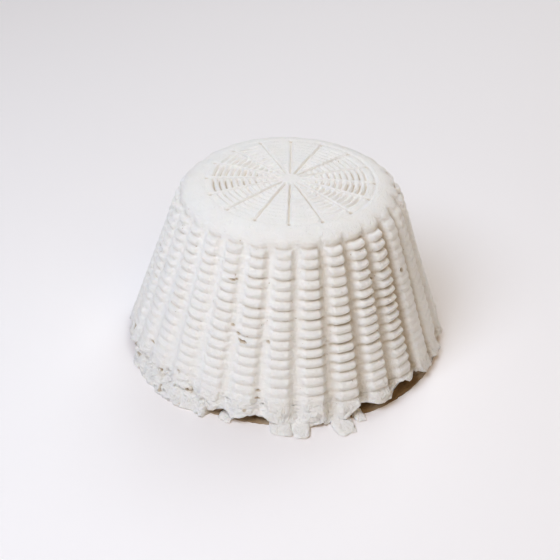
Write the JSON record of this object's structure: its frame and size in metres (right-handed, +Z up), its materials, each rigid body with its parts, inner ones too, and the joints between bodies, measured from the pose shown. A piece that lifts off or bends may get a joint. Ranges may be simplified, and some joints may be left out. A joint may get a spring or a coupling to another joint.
{
  "type": "whole fresh ricotta turned out of its basket mould",
  "caption": "Round tapered fresh cheese, standing on its wide end, with the print of a basket mould on its wall and top and a torn curd foot.",
  "frame": {"origin": "middle of the flat underside, on the surface that the cheese stands on", "axes": "+Z up along the axis of the mould, -Y towards the side that the picture shows, +X to its right"},
  "size_m": [0.1839, 0.1889, 0.0989],
  "materials": {
    "curd": "moist white curd, matt with a faint sheen"
  },
  "bodies": {
    "root": {"ricotta": "curd"}
  },
  "joints": []
}
